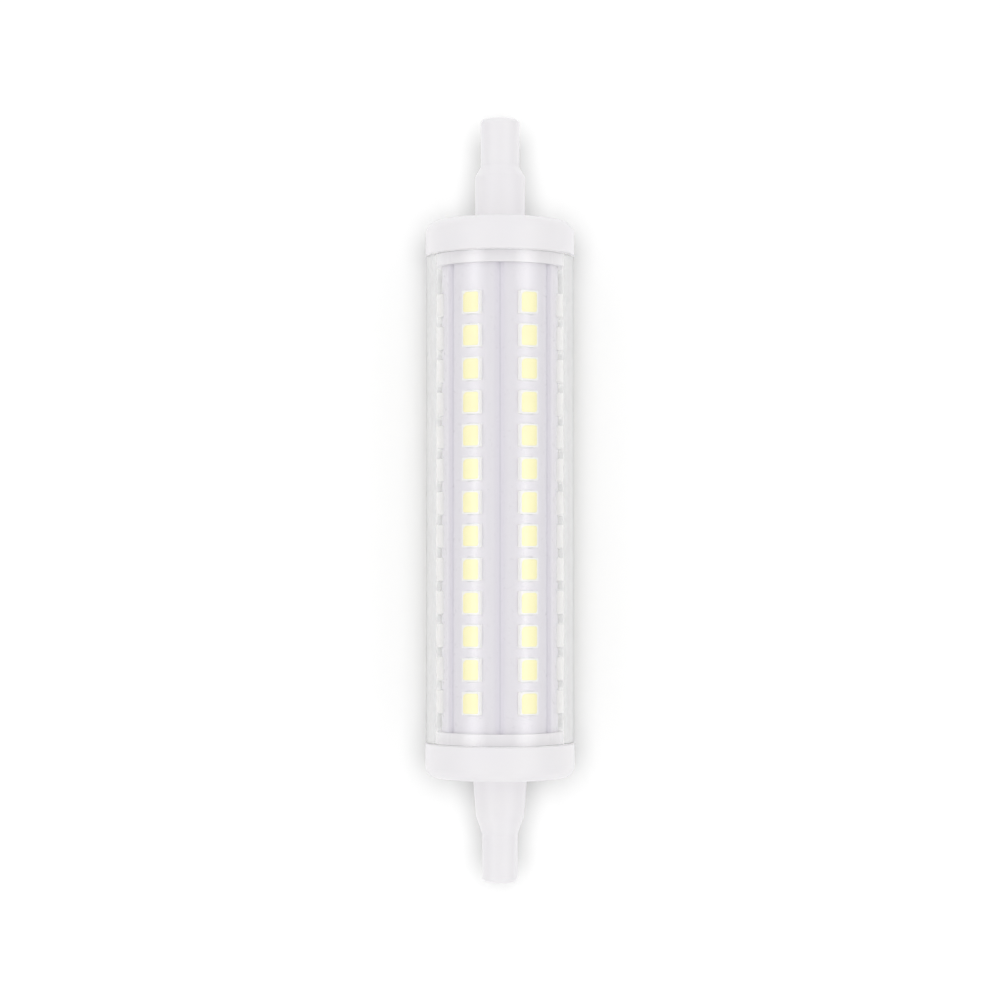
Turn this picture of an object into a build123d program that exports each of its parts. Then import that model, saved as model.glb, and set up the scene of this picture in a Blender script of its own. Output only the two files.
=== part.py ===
from build123d import *
import os
from math import cos, degrees, radians, sin, sqrt

# A double-ended linear LED lamp. A clear tube joins two white moulded caps, and inside it a round
# aluminium core carries curved strips of LEDs. The driver is inside the core.
# The lamp lies along Y with its centre at the origin. The upper end is at +Y, and the joint
# between two strips faces +Z. All sizes are in millimetres.

# Whole lamp
lamp_length = 118.0
body_diameter = 23.0

# Clear cover tube
cover_wall = 1.6
cover_end_gap = 0.05
cover_edge = 0.2

# What the two end caps share
cap_length = 21.45
skirt_length = 5.35
skirt_edge_radius = 1.8
rim_edge = 0.2
cap_floor = 1.6
spigot_reach = 1.8
spigot_clearance = 0.05
socket_clearance = 0.06
neck_wall = 1.4
neck_foot = 0.3
tip_end_radius = 0.7

# Neck and tip of the upper cap
upper_neck_foot_diameter = 7.75
upper_neck_top_diameter = 7.7
upper_neck_length = 7.2
upper_shoulder_length = 1.5
upper_shoulder_radius = 1.0
upper_tip_diameter = 6.0

# Neck and tip of the lower cap
lower_neck_foot_diameter = 8.35
lower_neck_top_diameter = 7.4
lower_neck_length = 6.0
lower_shoulder_length = 2.8
lower_shoulder_radius = 2.2
lower_tip_diameter = 5.45

# Recess in each tip, and the contact button at its floor
recess_diameter = 3.5
recess_depth = 1.9
contact_head_diameter = 3.0
contact_head_thickness = 0.6
contact_dimple_radius = 4.0
contact_dimple_depth = 0.15
contact_shank_diameter = 1.2
contact_clearance = 0.05
contact_web = 1.6
clinch_diameter = 2.0
clinch_thickness = 0.4
tip_hollow_diameter = 2.6

# Core tube, and the link board on each of its ends
core_wall = 0.9
link_thickness = 0.8
link_hole_diameter = 8.0
link_gap = 0.05

# LED strips round the core
strip_count = 7
strip_thickness = 0.3
strip_bond = 0.03
strip_joint = 0.3

# LED packages
led_width = 2.8
led_length = 3.5
led_height = 0.7
led_cover_gap = 0.1
led_seat_gap = 0.02
led_lip = 0.2
led_corner = 0.3
led_well_depth = 0.35
led_well_taper = 15.0
phosphor_gap = 0.02
led_pitch = 5.07
upper_led_margin = 7.85
least_lower_led_margin = 5.5

# Insulating sleeve and driver board inside the core
sleeve_clearance = 0.05
sleeve_wall = 0.3
sleeve_setback = 1.0
board_length = 58.0
board_thickness = 1.6
board_drop = 2.5
board_clearance = 0.1

# Parts on the driver board
part_lift = 0.02
resistor_diameter = 2.6
resistor_length = 7.0
resistor_cap_length = 1.4
resistor_cap_wall = 0.15
rectifier_width = 3.9
rectifier_length = 4.7
rectifier_height = 2.5
capacitor_diameter = 6.3
capacitor_length = 10.0
capacitor_edge = 0.3
chip_width = 3.9
chip_length = 4.9
chip_height = 1.5
package_edge = 0.2
leg_width = 0.5
leg_reach = 1.0
leg_thickness = 0.2
leg_spacing = 1.27

# Wires
mains_wire_diameter = 1.1
output_wire_diameter = 0.8
wire_end_gap = 0.1
wire_bend_radius = 2.5
wire_pad_length = 3.5
wire_rise = 8.0
output_pad_spacing = 8.0
link_pad_height = 2.5

# Stations along the lamp, measured from its centre
tip_end = lamp_length / 2
rim = tip_end - cap_length
cap_face = rim + skirt_length
socket_floor = cap_face - cap_floor
spigot_end = rim - spigot_reach
recess_floor = tip_end - recess_depth
contact_seat = recess_floor - contact_head_thickness
web_back = contact_seat - contact_web
core_end = socket_floor - link_thickness - 2 * link_gap

# Radii that the fits give
body_radius = body_diameter / 2
cover_bore_radius = body_radius - cover_wall
led_face_radius = sqrt((cover_bore_radius - led_cover_gap) ** 2 - (led_width / 2) ** 2)
led_seat_radius = led_face_radius - led_height
strip_face_radius = led_seat_radius - led_seat_gap
strip_back_radius = strip_face_radius - strip_thickness
socket_radius = strip_face_radius + socket_clearance
core_radius = strip_back_radius - strip_bond
core_bore_radius = core_radius - core_wall
sleeve_radius = core_bore_radius - sleeve_clearance
sleeve_bore_radius = sleeve_radius - sleeve_wall

# LED rows, and the strips' angles about Y from +Z
led_room = 2 * rim - upper_led_margin - least_lower_led_margin
led_rows = int(led_room / led_pitch) + 1
led_middle = rim - upper_led_margin - (led_rows - 1) * led_pitch / 2
strip_angle = 360 / strip_count
strip_span = strip_angle - degrees(strip_joint / strip_face_radius)

# The driver board, and the parts that share its length between the wires' pads
board_top = board_thickness / 2 - board_drop
board_end = board_length / 2
board_half_width = sqrt(sleeve_bore_radius**2 - (board_drop + board_thickness / 2) ** 2) - board_clearance
part_seat = board_top + part_lift
parts_end = board_end - wire_pad_length
parts_length = resistor_length + rectifier_length + capacitor_length + 2 * chip_length
part_gap = (2 * parts_end - parts_length) / 6
resistor_place = parts_end - part_gap - resistor_length / 2
rectifier_place = resistor_place - resistor_length / 2 - part_gap - rectifier_length / 2
capacitor_place = rectifier_place - rectifier_length / 2 - part_gap - capacitor_length / 2
upper_chip_place = capacitor_place - capacitor_length / 2 - part_gap - chip_length / 2
lower_chip_place = upper_chip_place - chip_length - part_gap

# Where the output wires meet the link board, between its hole and the sleeve
link_pad_radius = (link_hole_diameter / 2 + sleeve_bore_radius) / 2
link_pad_side = sqrt(link_pad_radius**2 - link_pad_height**2)


def save(piece, label):
    piece.part.label = label
    export_step(piece.part, f"parts/{label}.step")


def end_plane(side):
    """Lengthwise plane whose y runs outwards to the upper end (side 1) or the lower end (side -1)."""
    return Plane(origin=(0, 0, 0), x_dir=(1, 0, 0), z_dir=(0, 0, side))


def column_plane(index, radius):
    """Plane that touches a cylinder of this radius on the middle line of one strip, at the LEDs' middle."""
    angle = radians((index + 0.5) * strip_angle)
    outwards = Vector(sin(angle), 0, cos(angle))
    across = Vector(cos(angle), 0, -sin(angle))
    return Plane(origin=outwards * radius + Vector(0, led_middle, 0), x_dir=across, z_dir=outwards)


# Cover tube
def make_cover_tube():
    half_length = rim - cover_end_gap
    with BuildPart() as tube:
        with BuildSketch(Plane.XY):
            half_section(cover_bore_radius, body_radius, -half_length, half_length)
        revolve(axis=Axis.Y)
        rims = tube.edges().filter_by(GeomType.CIRCLE).group_by(SortBy.RADIUS)[-1]
        chamfer(rims, cover_edge)
    save(tube, "cover_tube")


# End cap: skirt, spigot in the tube, neck and tip, hollow behind the contact
def make_end_cap(label, side, foot_diameter, top_diameter, neck, shoulder, shoulder_radius, tip_diameter):
    neck_top = cap_face + neck
    tip_root = neck_top + shoulder
    spigot_radius = cover_bore_radius - spigot_clearance
    rim_corner = (body_radius, rim)
    face_corner = (body_radius, cap_face)
    foot_corner = (foot_diameter / 2, cap_face)
    shoulder_corner = (top_diameter / 2, neck_top)
    root_corner = (tip_diameter / 2, tip_root)
    end_corner = (tip_diameter / 2, tip_end)
    with BuildPart() as cap:
        with BuildSketch(end_plane(side)) as section:
            with BuildLine():
                Polyline(
                    (0, spigot_end),
                    (spigot_radius, spigot_end),
                    (spigot_radius, rim),
                    rim_corner,
                    face_corner,
                    foot_corner,
                    shoulder_corner,
                    root_corner,
                    end_corner,
                    (0, tip_end),
                    close=True,
                )
            make_face()
            chamfer(section.vertices().sort_by_distance(rim_corner)[0], rim_edge)
            chamfer(section.vertices().sort_by_distance(foot_corner)[0], neck_foot)
            for corner, radius in (
                (face_corner, skirt_edge_radius),
                (shoulder_corner, shoulder_radius),
                (root_corner, shoulder_radius / 2),
                (end_corner, tip_end_radius),
            ):
                fillet(section.vertices().sort_by_distance(corner)[0], radius)
        revolve(axis=Axis.Y)
        with BuildSketch(end_plane(side)):
            half_section(0, socket_radius, spigot_end, socket_floor)
            half_section(0, top_diameter / 2 - neck_wall, socket_floor, neck_top)
            half_section(0, tip_hollow_diameter / 2, neck_top, web_back)
            half_section(0, contact_shank_diameter / 2 + contact_clearance, web_back, contact_seat)
            half_section(0, contact_head_diameter / 2 + contact_clearance, contact_seat, recess_floor)
            half_section(0, recess_diameter / 2, recess_floor, tip_end)
        revolve(axis=Axis.Y, mode=Mode.SUBTRACT)
    save(cap, label)


def half_section(inner, outer, start, end):
    """Rectangle of a turned part's half section, from one radius to another and one station to another."""
    with Locations(((inner + outer) / 2, (start + end) / 2)):
        Rectangle(outer - inner, end - start)


# Contact button: a dimpled head in its seat, and a shank clinched behind the web
def make_contact(label, side):
    clinch_front = web_back - contact_clearance
    with BuildPart() as contact:
        with BuildSketch(end_plane(side)):
            half_section(0, contact_head_diameter / 2, contact_seat + contact_clearance, recess_floor)
            half_section(0, contact_shank_diameter / 2, clinch_front, contact_seat + contact_clearance)
            half_section(0, clinch_diameter / 2, clinch_front - clinch_thickness, clinch_front)
        revolve(axis=Axis.Y)
        with Locations((0, side * (recess_floor - contact_dimple_depth + contact_dimple_radius), 0)):
            Sphere(contact_dimple_radius, mode=Mode.SUBTRACT)
    save(contact, label)


# Core tube
def make_core():
    with BuildPart() as core:
        with BuildSketch(Plane.XY):
            half_section(core_bore_radius, core_radius, -core_end, core_end)
        revolve(axis=Axis.Y)
    save(core, "core_tube")


# Link board on one end of the core, soldered to the ends of the strips
def make_link_board(label, side):
    start = core_end + link_gap
    with BuildPart() as link:
        with BuildSketch(end_plane(side)):
            half_section(link_hole_diameter / 2, strip_face_radius, start, start + link_thickness)
        revolve(axis=Axis.Y)
    save(link, label)


# One curved strip along the core
def make_strip(index):
    start = radians((index + 0.5) * strip_angle - strip_span / 2)
    radial = Plane(origin=(0, 0, 0), x_dir=(sin(start), 0, cos(start)), z_dir=(cos(start), 0, -sin(start)))
    with BuildPart() as strip:
        with BuildSketch(radial):
            half_section(strip_back_radius, strip_face_radius, -core_end, core_end)
        revolve(axis=Axis.Y, revolution_arc=strip_span)
    save(strip, f"led_strip_{index + 1}")


def eight_sided(sketch, width, length):
    """Rectangles with their corners cut off, one for each LED of a strip."""
    with GridLocations(1, led_pitch, 1, led_rows):
        Rectangle(width, length)
    chamfer(sketch.vertices(), led_corner)


# The LEDs of one strip: cupped white packages, and the phosphor that fills each cup
def make_leds(index):
    well_width = led_width - 2 * led_lip
    well_length = led_length - 2 * led_lip
    with BuildPart() as packages:
        with BuildSketch(column_plane(index, led_seat_radius)):
            with GridLocations(1, led_pitch, 1, led_rows):
                Rectangle(led_width, led_length)
        extrude(amount=led_height)
        with BuildSketch(column_plane(index, led_face_radius)) as wells:
            eight_sided(wells, well_width, well_length)
        extrude(amount=-led_well_depth, taper=led_well_taper, mode=Mode.SUBTRACT)
    save(packages, f"led_packages_{index + 1}")
    with BuildPart() as phosphors:
        with BuildSketch(column_plane(index, led_face_radius - phosphor_gap)) as fills:
            eight_sided(fills, well_width - 4 * phosphor_gap, well_length - 4 * phosphor_gap)
        extrude(amount=-(led_well_depth - 2 * phosphor_gap), taper=led_well_taper)
    save(phosphors, f"led_phosphors_{index + 1}")


# Insulating sleeve in the core
def make_sleeve():
    sleeve_end = core_end - sleeve_setback
    with BuildPart() as sleeve:
        with BuildSketch(Plane.XY):
            half_section(sleeve_bore_radius, sleeve_radius, -sleeve_end, sleeve_end)
        revolve(axis=Axis.Y)
    save(sleeve, "insulating_sleeve")


# Driver board, its edges resting in the sleeve
def make_board():
    with BuildPart() as board:
        with BuildSketch(Plane.XY.offset(board_top)):
            Rectangle(2 * board_half_width, board_length)
        extrude(amount=-board_thickness)
    save(board, "driver_board")


# Fusible resistor: a round body with a metal cap pressed on each end, lying along the board
def make_resistor():
    cap_radius = resistor_diameter / 2
    with BuildPart() as resistor:
        with BuildSketch(Plane.XZ.offset(-resistor_place)):
            with Locations((0, part_seat + cap_radius)):
                Circle(cap_radius - resistor_cap_wall)
        extrude(amount=resistor_length / 2, both=True)
        for side in (1, -1):
            with BuildSketch(Plane.XZ.offset(-resistor_place - side * resistor_length / 2)):
                with Locations((0, part_seat + cap_radius)):
                    Circle(cap_radius)
            extrude(amount=side * resistor_cap_length)
    save(resistor, "fusible_resistor")


def make_package(label, width, length, height, places, legs_per_side):
    """Moulded parts with flat legs on both long sides, at these places along the board."""
    with BuildPart() as package:
        for place in places:
            with BuildSketch(Plane.XY.offset(part_seat + leg_thickness)):
                with Locations((0, place)):
                    Rectangle(width, length)
            extrude(amount=height)
        chamfer(package.faces().group_by(Axis.Z)[-1].edges(), package_edge)
        for place in places:
            with BuildSketch(Plane.XY.offset(part_seat)):
                with Locations((0, place)):
                    with GridLocations(1, leg_spacing, 1, legs_per_side):
                        Rectangle(width + 2 * leg_reach, leg_width)
            extrude(amount=leg_thickness)
    save(package, label)


# Electrolytic capacitor, lying along the board
def make_capacitor():
    with BuildPart() as capacitor:
        with BuildSketch(Plane.XZ.offset(-capacitor_place)):
            with Locations((0, part_seat + capacitor_diameter / 2)):
                Circle(capacitor_diameter / 2)
        extrude(amount=capacitor_length / 2, both=True)
        chamfer(capacitor.edges().filter_by(GeomType.CIRCLE), capacitor_edge)
    save(capacitor, "smoothing_capacitor")


# Mains wire from one contact to its end of the driver board
def make_mains_wire(label, side):
    radius = mains_wire_diameter / 2
    start = web_back - contact_clearance - clinch_thickness - wire_end_gap
    pad_height = part_seat + radius
    with BuildPart() as wire:
        with BuildLine(Plane(origin=(0, 0, 0), x_dir=(0, 0, 1), z_dir=(-side, 0, 0))) as route:
            FilletPolyline(
                (0, start),
                (0, board_end + wire_rise),
                (pad_height, board_end),
                (pad_height, board_end - wire_pad_length),
                radius=wire_bend_radius,
            )
        with BuildSketch(route.line ^ 0):
            Circle(radius)
        sweep(path=route.line)
    save(wire, label)


# Output wires from the driver board to the upper link board
def make_output_wires():
    radius = output_wire_diameter / 2
    pad_height = part_seat + radius
    link_face = core_end + link_gap - wire_end_gap
    with BuildPart() as wires:
        for side in (-1, 1):
            board_pad = side * output_pad_spacing / 2
            link_pad = side * link_pad_side
            with BuildLine() as route:
                FilletPolyline(
                    (board_pad, board_end - wire_pad_length, pad_height),
                    (board_pad, board_end, pad_height),
                    (link_pad, link_face - wire_pad_length, link_pad_height),
                    (link_pad, link_face, link_pad_height),
                    radius=wire_bend_radius,
                )
            with BuildSketch(route.line ^ 0):
                Circle(radius)
            sweep(path=route.line)
    save(wires, "output_wires")


os.makedirs("parts", exist_ok=True)
make_cover_tube()
make_end_cap(
    "upper_end_cap",
    1,
    upper_neck_foot_diameter,
    upper_neck_top_diameter,
    upper_neck_length,
    upper_shoulder_length,
    upper_shoulder_radius,
    upper_tip_diameter,
)
make_end_cap(
    "lower_end_cap",
    -1,
    lower_neck_foot_diameter,
    lower_neck_top_diameter,
    lower_neck_length,
    lower_shoulder_length,
    lower_shoulder_radius,
    lower_tip_diameter,
)
make_core()
for strip_index in range(strip_count):
    make_strip(strip_index)
    make_leds(strip_index)
for end_name, end_side in (("upper", 1), ("lower", -1)):
    make_contact(f"{end_name}_contact", end_side)
    make_link_board(f"{end_name}_link_board", end_side)
    make_mains_wire(f"{end_name}_mains_wire", end_side)
make_output_wires()
make_sleeve()
make_board()
make_resistor()
make_package("bridge_rectifier", rectifier_width, rectifier_length, rectifier_height, [rectifier_place], 2)
make_package(
    "driver_chips",
    chip_width,
    chip_length,
    chip_height,
    [upper_chip_place, lower_chip_place],
    4,
)
make_capacitor()
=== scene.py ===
from math import cos, pi, radians, sin, tan

import bpy
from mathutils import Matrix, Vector


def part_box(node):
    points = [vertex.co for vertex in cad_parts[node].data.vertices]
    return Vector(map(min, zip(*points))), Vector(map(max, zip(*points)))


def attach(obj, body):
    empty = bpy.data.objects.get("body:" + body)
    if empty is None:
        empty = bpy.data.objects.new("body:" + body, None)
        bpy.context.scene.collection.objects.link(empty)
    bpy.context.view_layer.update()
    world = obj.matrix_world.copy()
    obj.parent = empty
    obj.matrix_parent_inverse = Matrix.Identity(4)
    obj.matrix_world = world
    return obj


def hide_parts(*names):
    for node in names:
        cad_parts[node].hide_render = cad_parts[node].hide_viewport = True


# The looks of a double-ended linear LED lamp that lies along Y, with its upper end at +Y.
# All sizes here are in millimetres, and MM turns them to Blender's metres.
MM = 0.001
STRIP_COUNT = 7

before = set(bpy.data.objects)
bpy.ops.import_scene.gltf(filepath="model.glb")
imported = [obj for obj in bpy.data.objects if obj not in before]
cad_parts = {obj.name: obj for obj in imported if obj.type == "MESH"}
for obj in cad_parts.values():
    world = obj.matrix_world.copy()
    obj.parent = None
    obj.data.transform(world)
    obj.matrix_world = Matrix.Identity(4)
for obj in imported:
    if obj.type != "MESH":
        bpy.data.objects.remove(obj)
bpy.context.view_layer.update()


def low(node):
    """Lowest corner of a CAD node, in millimetres."""
    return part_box(node)[0] / MM


def high(node):
    """Highest corner of a CAD node, in millimetres."""
    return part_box(node)[1] / MM


# Colours and nodes

def linear(code):
    """Linear colour of an sRGB hex value."""
    channels = [int(code[i : i + 2], 16) / 255 for i in (1, 3, 5)]
    return [c / 12.92 if c <= 0.04045 else ((c + 0.055) / 1.055) ** 2.4 for c in channels] + [1.0]


def add(tree, kind, feeds=(), **settings):
    """Adds a node with its settings. feeds gives an input's name or number with what goes in: a value,
    another node's output, or another node, whose first output is meant."""
    node = tree.nodes.new(kind)
    for name, value in settings.items():
        setattr(node, name, value)
    for name, value in dict(feeds).items():
        if isinstance(value, bpy.types.Node):
            value = value.outputs[0]
        if isinstance(value, bpy.types.NodeSocket):
            tree.links.new(value, node.inputs[name])
        else:
            node.inputs[name].default_value = value
    return node


def new_material(name):
    """A material with an empty node tree, and the tree."""
    material = bpy.data.materials.new(name)
    material.use_nodes = True
    material.node_tree.nodes.clear()
    return material, material.node_tree


def millimetres(tree, stretch=1.0):
    """Object coordinates in millimetres. stretch draws a pattern out along the lamp."""
    where = add(tree, "ShaderNodeTexCoord").outputs["Object"]
    scale = (1 / MM, 1 / MM / stretch, 1 / MM)
    return add(tree, "ShaderNodeMapping", {"Vector": where, "Scale": scale})


def skin(tree, relief, depth, roughness, feeds, span=(0.3, 0.7)):
    """Ends a material with a Principled shader. relief is a pattern that raises the surface by up to depth.
    roughness is one value, or a pair of values that the pattern runs between over its span. feeds holds what
    else the shader gets."""
    if isinstance(roughness, tuple):
        roughness = add(tree, "ShaderNodeMapRange", {
            "Value": relief,
            "From Min": span[0],
            "From Max": span[1],
            "To Min": roughness[0],
            "To Max": roughness[1],
        })
    normal = add(tree, "ShaderNodeBump", {"Height": relief, "Distance": depth * MM})
    shader = add(tree, "ShaderNodeBsdfPrincipled", {"Normal": normal, "Roughness": roughness, **feeds})
    add(tree, "ShaderNodeOutputMaterial", {"Surface": shader})


# Materials. A noise pattern is scaled by one over the size of its patches.

def clear_polycarbonate():
    """Extruded clear polycarbonate. It is glossy, with faint draw lines along the tube, 1.6 mm apart, that
    ripple a reflection. What shows through it is clear in its middle. Where a sight line runs in the plastic
    alone its colour is greyed by viewing angle, a painted shade, and at its outermost edge lifted again, a
    painted highlight. Light goes straight through it, and only its sides cast a shadow."""
    wall_starts, wall_fills, painted_side_grey = 0.476, 0.494, 0.55
    rim_starts, rim_fills, painted_rim_lift = 0.62, 0.8, 0.15
    shade_starts, shade_fills, shade = 0.46, 0.66, 0.5
    material, tree = new_material("extruded_clear_polycarbonate")
    lines = add(tree, "ShaderNodeTexNoise", {"Vector": millimetres(tree, 60), "Scale": 1 / 1.6})
    normal = add(tree, "ShaderNodeBump", {"Height": lines, "Distance": 0.004 * MM})
    slant = add(tree, "ShaderNodeLayerWeight", {"Blend": 0.5}).outputs["Facing"]
    # Painted shade by viewing angle towards the tube's sides, and a painted highlight at its outermost edge
    painted_side_shade = add(tree, "ShaderNodeMapRange", {
        "Value": slant, "From Min": wall_starts, "From Max": wall_fills, "To Min": 1.0, "To Max": painted_side_grey,
    })
    painted_rim_highlight = add(tree, "ShaderNodeMapRange", {
        "Value": slant, "From Min": rim_starts, "From Max": rim_fills, "To Min": 0.0, "To Max": painted_rim_lift,
    })
    shader = add(tree, "ShaderNodeBsdfPrincipled", {
        "Base Color": add(tree, "ShaderNodeMath", {0: painted_side_shade, 1: painted_rim_highlight}, operation="ADD"),
        "Roughness": 0.02,
        "IOR": 1.585,
        "Transmission Weight": 1.0,
        "Normal": normal,
    })
    path = add(tree, "ShaderNodeLightPath").outputs
    let_through = add(tree, "ShaderNodeMapRange", {
        "Value": slant, "From Min": shade_starts, "From Max": shade_fills, "To Min": 1.0, "To Max": shade,
    }, interpolation_type="SMOOTHSTEP")
    let_through = add(tree, "ShaderNodeMath", {
        0: let_through, 1: path["Is Diffuse Ray"],
    }, operation="MAXIMUM")
    passing = add(tree, "ShaderNodeMath", {
        0: path["Is Shadow Ray"], 1: path["Is Diffuse Ray"],
    }, operation="MAXIMUM")
    open_way = add(tree, "ShaderNodeBsdfTransparent", {"Color": let_through})
    mix = add(tree, "ShaderNodeMixShader", {0: passing, 1: shader, 2: open_way})
    add(tree, "ShaderNodeOutputMaterial", {"Surface": mix})
    return material


def moulded_pbt():
    """White PBT moulded against a spark-eroded tool: a satin skin with a grain of 0.3 mm and faint clouds."""
    material, tree = new_material("moulded_white_pbt")
    clouds = add(tree, "ShaderNodeTexNoise", {"Vector": millimetres(tree), "Scale": 1 / 7.0, "Detail": 3.0})
    colours = {0: clouds, 6: linear("#EDEBEF"), 7: linear("#F1EFF0")}
    white = add(tree, "ShaderNodeMix", colours, data_type="RGBA").outputs[2]
    grain = add(tree, "ShaderNodeTexNoise", {"Vector": millimetres(tree), "Scale": 1 / 0.3, "Detail": 1.0})
    skin(tree, grain, 0.006, (0.34, 0.46), {"Base Color": white, "IOR": 1.52})
    return material


def nickel_plate():
    """Bright nickel plate on a turned brass button, with the turning rings drawn 0.24 mm apart."""
    ring_step = 0.2417
    wave_turn = 20  # radians of wave in one unit at a scale of 1
    material, tree = new_material("nickel_plated_brass")
    rings = add(tree, "ShaderNodeTexWave", {
        "Vector": millimetres(tree),
        "Scale": 2 * pi / wave_turn / ring_step,
        "Distortion": 0.3,
    }, wave_type="RINGS", rings_direction="Y", wave_profile="SIN").outputs["Fac"]
    brass = {"Base Color": linear("#D9D4CB"), "Metallic": 1.0}
    skin(tree, rings, 0.003, (0.2, 0.32), brass, span=(0.0, 1.0))
    return material


def extruded_aluminium():
    """Mill-finish extruded aluminium, with soft draw lines along the tube, 0.2 mm apart."""
    material, tree = new_material("extruded_aluminium")
    lines = add(tree, "ShaderNodeTexNoise", {"Vector": millimetres(tree, 150), "Scale": 1 / 0.2})
    skin(tree, lines, 0.003, (0.28, 0.44), {"Base Color": linear("#BDBEC3"), "Metallic": 1.0})
    return material


def white_solder_mask():
    """Gloss white solder mask screened over copper, with a faint orange peel of 0.5 mm. Over a sixth of a
    strip's width beside each joint between the strips it is painted a little darker, as painted shade."""
    painted_joint_shade_share = 0.16
    material, tree = new_material("white_solder_mask")
    where = add(tree, "ShaderNodeSeparateXYZ", {0: millimetres(tree)}).outputs
    angle = add(tree, "ShaderNodeMath", {0: where["X"], 1: where["Z"]}, operation="ARCTAN2")
    strips = add(tree, "ShaderNodeMath", {
        0: angle, 1: STRIP_COUNT / (2 * pi), 2: STRIP_COUNT,
    }, operation="MULTIPLY_ADD")
    from_joint = add(tree, "ShaderNodeMath", {0: strips, 1: 0.5}, operation="PINGPONG")
    # Painted shade: the colour darkens towards each joint between the strips.
    painted_joint_shade = add(tree, "ShaderNodeMapRange", {"Value": from_joint, "From Max": painted_joint_shade_share},
                interpolation_type="SMOOTHSTEP")
    colours = {0: painted_joint_shade, 6: linear("#DDD9E3"), 7: linear("#E4E1E7")}
    white = add(tree, "ShaderNodeMix", colours, data_type="RGBA").outputs[2]
    peel = add(tree, "ShaderNodeTexNoise", {"Vector": millimetres(tree), "Scale": 1 / 0.5})
    skin(tree, peel, 0.004, (0.26, 0.38), {"Base Color": white, "IOR": 1.5})
    return material


def moulded_ppa():
    """White PPA of an LED package: a matt reflecting plastic with a grain of 0.12 mm."""
    material, tree = new_material("moulded_white_ppa")
    grain = add(tree, "ShaderNodeTexNoise", {"Vector": millimetres(tree), "Scale": 1 / 0.12})
    skin(tree, grain, 0.002, (0.44, 0.56), {"Base Color": linear("#F6F5F3"), "IOR": 1.55})
    return material


def phosphor_silicone():
    """Yellow phosphor stirred into clear silicone and cured to a smooth skin, with specks of 0.15 mm. A
    faint emission makes it glow a little, painted light, as the lamp is not lit."""
    material, tree = new_material("phosphor_in_silicone")
    specks = add(tree, "ShaderNodeTexNoise", {"Vector": millimetres(tree), "Scale": 1 / 0.15})
    colours = {0: specks, 6: linear("#F7F1B0"), 7: linear("#F9F3BA")}
    # The faint emission below is painted light: the phosphor glows though the lamp is off.
    skin(tree, specks, 0.002, 0.28, {
        "Base Color": add(tree, "ShaderNodeMix", colours, data_type="RGBA").outputs[2],
        "IOR": 1.41,
        "Emission Color": linear("#FFF7A0"),
        "Emission Strength": 0.03,
    })
    return material


def reflowed_solder():
    """Tin solder as it froze after reflow: bright, with a faintly dimpled skin."""
    material, tree = new_material("reflowed_tin_solder")
    dimples = add(tree, "ShaderNodeTexNoise", {"Vector": millimetres(tree), "Scale": 1 / 0.2})
    skin(tree, dimples, 0.006, (0.34, 0.5), {"Base Color": linear("#DCDCDE"), "Metallic": 1.0})
    return material


def inner(name, first, second, patch, roughness):
    """What a piece inside the core is made of: two close colours in patches that also show in its relief."""
    material, tree = new_material(name)
    patches = add(tree, "ShaderNodeTexNoise", {"Vector": millimetres(tree), "Scale": 1 / patch})
    colours = {0: patches, 6: linear(first), 7: linear(second)}
    colour = add(tree, "ShaderNodeMix", colours, data_type="RGBA").outputs[2]
    skin(tree, patches, 0.01, roughness, {"Base Color": colour})
    return material


def floor_paper():
    """Matt pale paper, without gloss or pattern."""
    material, tree = new_material("white_paper_floor")
    shader = add(tree, "ShaderNodeBsdfPrincipled", {
        "Base Color": linear("#A9A9A9"),
        "Roughness": 0.9,
        "Specular IOR Level": 0.0,
    })
    add(tree, "ShaderNodeOutputMaterial", {"Surface": shader})
    return material


# Meshes

def new_piece(name, points, faces=()):
    """An object at the origin from points in millimetres."""
    mesh = bpy.data.meshes.new(name)
    mesh.from_pydata([Vector(point) * MM for point in points], (), faces)
    piece = bpy.data.objects.new(name, mesh)
    bpy.context.scene.collection.objects.link(piece)
    return piece


def grow(piece, tree, inputs, crease):
    """Runs a Geometry Nodes tree on a piece, keeps what it makes as a plain mesh, and smooths it where its
    faces meet at less than crease degrees."""
    modifier = piece.modifiers.new("grow", "NODES")
    modifier.node_group = tree
    for item in tree.interface.items_tree:
        if item.in_out == "INPUT" and item.name in inputs:
            modifier[item.identifier] = inputs[item.name]
    evaluated = piece.evaluated_get(bpy.context.evaluated_depsgraph_get())
    mesh = bpy.data.meshes.new_from_object(evaluated)
    piece.modifiers.clear()
    piece.data = mesh
    mesh.shade_smooth()
    mesh.set_sharp_from_angle(angle=radians(crease))
    return piece


def fit(piece, slot, *nodes):
    """Fixes a piece to the lamp and hides the CAD nodes that it replaces. Its slot argument is not used."""
    if nodes:
        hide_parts(*nodes)
    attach(piece, "root")


def new_tree(name, sockets):
    """An empty Geometry Nodes tree with these inputs. Returns it, its input sockets and its output node."""
    tree = bpy.data.node_groups.new(name, "GeometryNodeTree")
    tree.interface.new_socket("Geometry", in_out="INPUT", socket_type="NodeSocketGeometry")
    for socket, kind in sockets.items():
        tree.interface.new_socket(socket, in_out="INPUT", socket_type=kind)
    tree.interface.new_socket("Geometry", in_out="OUTPUT", socket_type="NodeSocketGeometry")
    return tree, add(tree, "NodeGroupInput").outputs, add(tree, "NodeGroupOutput")


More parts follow.
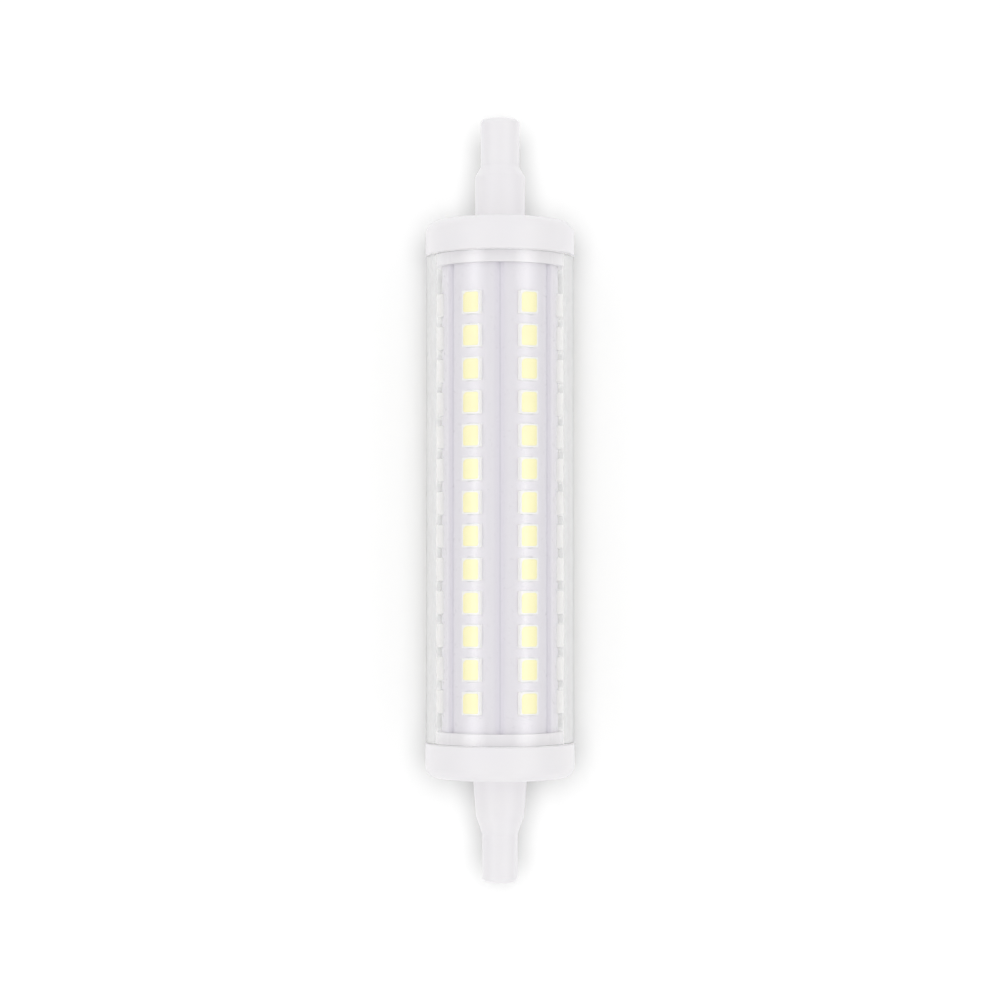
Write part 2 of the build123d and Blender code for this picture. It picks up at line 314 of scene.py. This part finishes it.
def turning_tree():
    """Turns a profile, given as points with x as radius and y as station, about the Y axis."""
    tree, given, out = new_tree("turned_piece", {
        "Points": "NodeSocketInt",
        "Sides": "NodeSocketInt",
        "Material": "NodeSocketMaterial",
    })
    columns = add(tree, "ShaderNodeMath", {0: given["Sides"], 1: 1}, operation="ADD")
    grid = add(tree, "GeometryNodeMeshGrid", {"Vertices X": given["Points"], "Vertices Y": columns})
    index = add(tree, "GeometryNodeInputIndex")
    rows = add(tree, "ShaderNodeMath", {0: index, 1: columns}, operation="DIVIDE")
    row = add(tree, "ShaderNodeMath", {0: rows}, operation="FLOOR")
    column = add(tree, "ShaderNodeMath", {0: index, 1: columns}, operation="FLOORED_MODULO")
    share = add(tree, "ShaderNodeMath", {0: column, 1: given["Sides"]}, operation="DIVIDE")
    angle = add(tree, "ShaderNodeMath", {0: share, 1: 2 * pi}, operation="MULTIPLY")
    sample = add(tree, "GeometryNodeSampleIndex", {
        "Geometry": given["Geometry"],
        "Value": add(tree, "GeometryNodeInputPosition"),
        "Index": row,
    }, data_type="FLOAT_VECTOR", domain="POINT")
    profile = add(tree, "ShaderNodeSeparateXYZ", {0: sample}).outputs
    sine = add(tree, "ShaderNodeMath", {0: angle}, operation="SINE")
    cosine = add(tree, "ShaderNodeMath", {0: angle}, operation="COSINE")
    target = add(tree, "ShaderNodeCombineXYZ", {
        "X": add(tree, "ShaderNodeMath", {0: profile["X"], 1: sine}, operation="MULTIPLY"),
        "Y": profile["Y"],
        "Z": add(tree, "ShaderNodeMath", {0: profile["X"], 1: cosine}, operation="MULTIPLY"),
    })
    turned = add(tree, "GeometryNodeSetPosition", {"Geometry": grid, "Position": target})
    outwards = add(tree, "GeometryNodeFlipFaces", {"Mesh": turned})
    merged = add(tree, "GeometryNodeMergeByDistance", {"Geometry": outwards, "Distance": 0.001 * MM})
    real = add(tree, "GeometryNodeRealizeInstances", {"Geometry": merged})
    finish = add(tree, "GeometryNodeSetMaterial", {"Geometry": real, "Material": given["Material"]})
    tree.links.new(finish.outputs[0], out.inputs[0])
    return tree


def columns_tree():
    """Sets a piece out in rows along Y, and the rows in columns round the Y axis, facing outwards. The first
    and the last column are half a step from +Z, so that the joint between them faces it."""
    tree, given, out = new_tree("columns_of_pieces", {
        "Columns": "NodeSocketInt",
        "Rows": "NodeSocketInt",
        "Pitch": "NodeSocketFloat",
        "First row": "NodeSocketFloat",
        "Seat radius": "NodeSocketFloat",
        "Material": "NodeSocketMaterial",
    })
    start = add(tree, "ShaderNodeCombineXYZ", {"Y": given["First row"], "Z": given["Seat radius"]})
    step = add(tree, "ShaderNodeCombineXYZ", {"Y": given["Pitch"]})
    rows = add(tree, "GeometryNodeMeshLine", {
        "Count": given["Rows"],
        "Start Location": start,
        "Offset": step,
    }, mode="OFFSET")
    column = add(tree, "GeometryNodeInstanceOnPoints", {"Points": rows, "Instance": given["Geometry"]})
    hubs = add(tree, "GeometryNodeMeshLine", {"Count": given["Columns"], "Offset": (0, 0, 0)}, mode="OFFSET")
    middle = add(tree, "ShaderNodeMath", {0: add(tree, "GeometryNodeInputIndex"), 1: 0.5}, operation="ADD")
    share = add(tree, "ShaderNodeMath", {0: middle, 1: given["Columns"]}, operation="DIVIDE")
    angle = add(tree, "ShaderNodeMath", {0: share, 1: 2 * pi}, operation="MULTIPLY")
    ring = add(tree, "GeometryNodeInstanceOnPoints", {
        "Points": hubs,
        "Instance": column,
        "Rotation": add(tree, "ShaderNodeCombineXYZ", {"Y": angle}),
    })
    real = add(tree, "GeometryNodeRealizeInstances", {"Geometry": ring})
    finish = add(tree, "GeometryNodeSetMaterial", {"Geometry": real, "Material": given["Material"]})
    tree.links.new(finish.outputs[0], out.inputs[0])
    return tree


def rounded(corners, steps):
    """Replaces each (x, y, radius) corner of a closed outline by an arc."""
    points = []
    for i, (x, y, radius) in enumerate(corners):
        here = Vector((x, y))
        before = (Vector(corners[i - 1][:2]) - here).normalized()
        after = (Vector(corners[(i + 1) % len(corners)][:2]) - here).normalized()
        half = before.angle(after) / 2
        start = here + before * radius / tan(half)
        end = here + after * radius / tan(half)
        centre = here + (before + after).normalized() * radius / sin(half)
        for k in range(steps + 1):
            chord = start.lerp(end, k / steps) - centre
            points.append(centre + chord.normalized() * radius)
    return points


def stacked(name, *solids):
    """A piece of closed solids. Each is a list of rings with as many points each, which run anticlockwise as
    seen from the last ring's side."""
    points, faces = [], []
    for rings in solids:
        size = len(rings[0])
        start = len(points)
        last = start + (len(rings) - 1) * size
        for a in range(start, last, size):
            for k in range(size):
                following = (k + 1) % size
                faces.append((a + k, a + following, a + size + following, a + size + k))
        faces.append(tuple(reversed(range(start, start + size))))
        faces.append(tuple(range(last, last + size)))
        points += [point for ring in rings for point in ring]
    return new_piece(name, points, faces)


def strip_nodes(kind):
    """Names of the CAD nodes of one kind, one to a strip."""
    return [f"{kind}_{index + 1}" for index in range(STRIP_COUNT)]


COLUMNS = columns_tree()
CREASE = 40

# Cover tube, a little longer than its solid, so that it closes the gap to the caps' rims
cover_wall = 1.6
cover_lap = 0.04
cover_edge = 0.02
cover_sides = 256
cover_crease = 5  # less than the first chord of an edge's arc, so that the long faces keep their own normals
body_radius = high("cover_tube").x
bore_radius = body_radius - cover_wall
cover_end = high("cover_tube").y + cover_lap

section = rounded([
    (bore_radius, -cover_end, cover_edge),
    (body_radius, -cover_end, cover_edge),
    (body_radius, cover_end, cover_edge),
    (bore_radius, cover_end, cover_edge),
], 4)
profile = [(point.x, point.y, 0) for point in section + section[:1]]
cover = grow(new_piece("clear_cover_tube", profile), turning_tree(), {
    "Points": len(profile),
    "Sides": cover_sides,
    "Material": clear_polycarbonate(),
}, cover_crease)
fit(cover, "clear_cover", "cover_tube")

# LED packages, whose undersides sink into the curved strips
led_rows = 13
led_length = 3.5
led_height = 0.7
led_sink = 0.14
led_corners = (0.1,) * 4
led_edge = 0.05
led_edge_drop = 0.06
led_edge_corners = (0.08,) * 4
led_lip = 0.2
well_depth = 0.35
well_taper = 0.1
well_corners = (0.3, 0.3, 0.3, 0.65)  # the large one marks the cathode

# Strip 4 faces straight down, so the box of its packages gives their width, their face and their rows' ends
led_width = high("led_packages_4").x - low("led_packages_4").x
led_face_radius = -low("led_packages_4").z
first_row = low("led_packages_4").y + led_length / 2
last_row = high("led_packages_4").y - led_length / 2
led_layout = {
    "Columns": STRIP_COUNT,
    "Rows": led_rows,
    "Pitch": (last_row - first_row) / (led_rows - 1) * MM,
    "First row": first_row * MM,
    "Seat radius": (led_face_radius - led_height) * MM,
}


def led_ring(inset, height, radii):
    """Ring of points at one height, moved in from a package's outline, with these corner radii."""
    x, y = led_width / 2 - inset, led_length / 2 - inset
    corners = [(-x, -y), (x, -y), (x, y), (-x, y)]
    outline = rounded([(*corner, radius) for corner, radius in zip(corners, radii)], 3)
    return [(point.x, point.y, height) for point in outline]


packages = grow(stacked("led_package_bodies", [
    led_ring(0, -led_sink, led_corners),
    led_ring(0, led_height - led_edge_drop, led_corners),
    led_ring(led_edge, led_height, led_edge_corners),
    led_ring(led_lip, led_height, well_corners),
    led_ring(led_lip + well_taper, led_height - well_depth, well_corners),
]), COLUMNS, {**led_layout, "Material": moulded_ppa()}, CREASE)
fit(packages, "led_package", *strip_nodes("led_packages"))

# Phosphor fills, whose skin sinks from the well's edge to its middle
fill_gap = 0.02
fill_skin = ((0.02, 0.02), (0.25, 0.05), (0.6, 0.07))  # way in from the well's edge, and drop below it

fill_floor = led_ring(led_lip + well_taper + fill_gap, led_height - well_depth + fill_gap, well_corners)
fills = grow(stacked("led_phosphor_fills", [fill_floor] + [
    led_ring(led_lip + inset, led_height - drop, well_corners) for inset, drop in fill_skin
]), COLUMNS, {**led_layout, "Material": phosphor_silicone()}, CREASE)
fit(fills, "led_phosphor", *strip_nodes("led_phosphors"))

# Solder fillets at each package's two short ends, each with a hollow slope that is lower at its corners
fillet_lap = 0.02
# Reach and height of each point of a section, then each section's place across and its share of the slope
fillet_slope = ((0.0, 0.2), (0.05, 0.12), (0.11, 0.06), (0.2, 0.02), (0.21, -0.12), (0.0, -0.12))
fillet_shares = ((0.95, 0.25), (0.75, 1.0), (-0.75, 1.0), (-0.95, 0.25))


def fillet_rings(side):
    """Sections of the fillet at one end of a package."""
    root = led_length / 2 - fillet_lap
    return [
        [
            (side * across, side * (root + reach * share), min(height, height * share))
            for reach, height in fillet_slope
        ]
        for across, share in fillet_shares
    ]


fillets = stacked("led_solder_fillets", fillet_rings(1), fillet_rings(-1))
grow(fillets, COLUMNS, {**led_layout, "Material": reflowed_solder()}, CREASE)
fit(fillets, "contact_metal")

# Strips, whose long edges are rolled down to the joints between them
strip_face = -low("led_strip_4").z
strip_ends = (low("led_strip_4").y, high("led_strip_4").y)
strip_thickness = 0.3
strip_gap = 0.06
edge_width = 0.7
edge_drop = 0.25
edge_steps = 6


def strip_section():
    """Outline of one strip round the Y axis, as (angle, radius) points, its outside first."""
    half = pi / STRIP_COUNT - strip_gap / 2 / strip_face
    roll = edge_width / strip_face
    across = [k / edge_steps for k in range(-edge_steps, edge_steps + 1)]
    steps = [k / edge_steps for k in range(edge_steps)]
    edge = [(roll * step, edge_drop * (1 + cos(pi * step)) / 2) for step in steps]
    outside = [(angle - half, strip_face - drop) for angle, drop in edge]
    outside += [((half - roll) * share, strip_face) for share in across]
    outside += [(half - angle, strip_face - drop) for angle, drop in reversed(edge)]
    inside = [(-half * share, strip_face - strip_thickness) for share in across]
    return outside + inside


mask = white_solder_mask()
boards = stacked("led_strip_boards", [
    [(radius * sin(angle), station, radius * cos(angle)) for angle, radius in strip_section()]
    for station in strip_ends
])
grow(boards, COLUMNS, {
    "Columns": STRIP_COUNT,
    "Rows": 1,
    "Pitch": 0.0,
    "First row": 0.0,
    "Seat radius": 0.0,
    "Material": mask,
}, CREASE)
fit(boards, "white_board", *strip_nodes("led_strip"))

# CAD nodes that stay, each in its own material
pbt = moulded_pbt()
nickel = nickel_plate()
epoxy = inner("moulded_black_epoxy", "#232426", "#2B2C2E", 0.2, 0.55)
insulation = inner("silicone_wire_cover", "#E9E7E2", "#EFEDE8", 1.5, 0.45)
finishes = {
    "upper_end_cap": pbt,
    "lower_end_cap": pbt,
    "upper_contact": nickel,
    "lower_contact": nickel,
    "core_tube": extruded_aluminium(),
    "upper_link_board": mask,
    "lower_link_board": mask,
    "insulating_sleeve": inner("polyester_film", "#E6E2CF", "#EDE9D9", 3.0, 0.3),
    "driver_board": inner("green_solder_mask", "#2E6B3F", "#357547", 0.6, 0.35),
    "fusible_resistor": inner("enamelled_ceramic", "#7D8F84", "#889A8F", 0.8, 0.3),
    "bridge_rectifier": epoxy,
    "driver_chips": epoxy,
    "smoothing_capacitor": inner("shrunk_pvc_film", "#23252B", "#2A2C33", 1.2, 0.25),
    "upper_mains_wire": insulation,
    "lower_mains_wire": insulation,
    "output_wires": insulation,
}
for node, material in finishes.items():
    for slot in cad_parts[node].material_slots:
        slot.material = material

# Floor, just under the lamp
floor_half = 3000.0
floor_gap = 0.01
floor_level = -body_radius - floor_gap
floor_signs = ((-1, -1), (1, -1), (1, 1), (-1, 1))
floor_corners = [(x * floor_half, y * floor_half, floor_level) for x, y in floor_signs]
floor = new_piece("floor", floor_corners, [(0, 1, 2, 3)])
floor.data.materials.append(floor_paper())

# World: a pale tent with a soft bright band along the lamp on each side of the camera, and in each band a
# short bright core. Angles are from straight above. The camera sees it as plain white. Reflections and the
# tube see white with the bands, and what it lights gets a dimmer tent with the bands.
ambient = 0.56
band_strength = 1.38
band_start, band_full = radians(21), radians(41)
band_ebb, band_end = radians(44), radians(67)
core_strength = 0.5
core_middle = radians(41)
core_half = radians(2.2)
core_reach, core_end = 0.035, 0.055  # share of a direction that points along the lamp

world = bpy.data.worlds.new("light_tent")
bpy.context.scene.world = world
world.use_nodes = True
tree = world.node_tree
tree.nodes.clear()
where = add(tree, "ShaderNodeSeparateXYZ", {0: add(tree, "ShaderNodeTexCoord").outputs["Generated"]}).outputs
sideways = add(tree, "ShaderNodeMath", {0: where["X"]}, operation="ABSOLUTE")
along = add(tree, "ShaderNodeMath", {0: where["Y"]}, operation="ABSOLUTE")
angle = add(tree, "ShaderNodeMath", {0: sideways, 1: where["Z"]}, operation="ARCTAN2")
rise = add(tree, "ShaderNodeMapRange", {
    "Value": angle, "From Min": band_start, "From Max": band_full, "To Min": 0.0, "To Max": band_strength,
})
fall = add(tree, "ShaderNodeMapRange", {
    "Value": angle, "From Min": band_ebb, "From Max": band_end, "To Min": 1.0, "To Max": 0.0,
})
off_core = add(tree, "ShaderNodeMath", {0: angle, 1: core_middle}, operation="SUBTRACT")
core_across = add(tree, "ShaderNodeMapRange", {
    "Value": add(tree, "ShaderNodeMath", {0: off_core}, operation="ABSOLUTE"),
    "From Min": core_half,
    "From Max": 2 * core_half,
    "To Min": core_strength,
    "To Max": 0.0,
}, interpolation_type="SMOOTHSTEP")
core_along = add(tree, "ShaderNodeMapRange", {
    "Value": along, "From Min": core_reach, "From Max": core_end, "To Min": 1.0, "To Max": 0.0,
}, interpolation_type="SMOOTHSTEP")
core = add(tree, "ShaderNodeMath", {0: core_across, 1: core_along}, operation="MULTIPLY")
bands = add(tree, "ShaderNodeMath", {0: rise, 1: fall, 2: core}, operation="MULTIPLY_ADD")

path = add(tree, "ShaderNodeLightPath").outputs
bent = add(tree, "ShaderNodeMath", {
    0: path["Is Glossy Ray"], 1: path["Is Transmission Ray"],
}, operation="MAXIMUM")
seen = add(tree, "ShaderNodeMath", {0: path["Is Camera Ray"], 1: bent}, operation="MAXIMUM")
tent = add(tree, "ShaderNodeMapRange", {"Value": seen, "To Min": ambient, "To Max": 1.0})
unseen = add(tree, "ShaderNodeMath", {0: 1.0, 1: path["Is Camera Ray"]}, operation="SUBTRACT")
lit = add(tree, "ShaderNodeMath", {0: bands, 1: unseen, 2: tent}, operation="MULTIPLY_ADD")
background = add(tree, "ShaderNodeBackground", {"Color": (1, 1, 1, 1), "Strength": lit})
add(tree, "ShaderNodeOutputWorld", {"Surface": background})

# Floor light: wide and soft, from straight above. It reaches only the floor, where it gives the lamp a
# narrow soft shadow.
softbox_spread = radians(36.9)
softbox_strength = 5.25
floor_light = bpy.data.lights.new("floor_softbox", "SUN")
floor_light.angle = softbox_spread
floor_light.energy = softbox_strength
softbox = bpy.data.objects.new("floor_softbox", floor_light)
bpy.context.scene.collection.objects.link(softbox)
softbox.visible_camera = False
softbox.visible_glossy = False
softbox.visible_transmission = False
receivers = bpy.data.collections.new("floor_softbox_receivers")
receivers.objects.link(floor)
softbox.light_linking.receiver_collection = receivers

# Camera, above the lamp and a little towards its lower end, tilted to its middle
camera_height = 396.3
camera_offset = -10.57
camera_tilt = radians(1.51)
camera_lens = 92.11
camera_sensor = 36.0
camera_data = bpy.data.cameras.new("camera")
camera_data.lens = camera_lens
camera_data.sensor_width = camera_sensor
camera = bpy.data.objects.new("camera", camera_data)
camera.location = (0, camera_offset * MM, camera_height * MM)
camera.rotation_euler = (camera_tilt, 0, 0)
bpy.context.scene.collection.objects.link(camera)
bpy.context.scene.camera = camera
bpy.context.scene.view_settings.view_transform = "Standard"
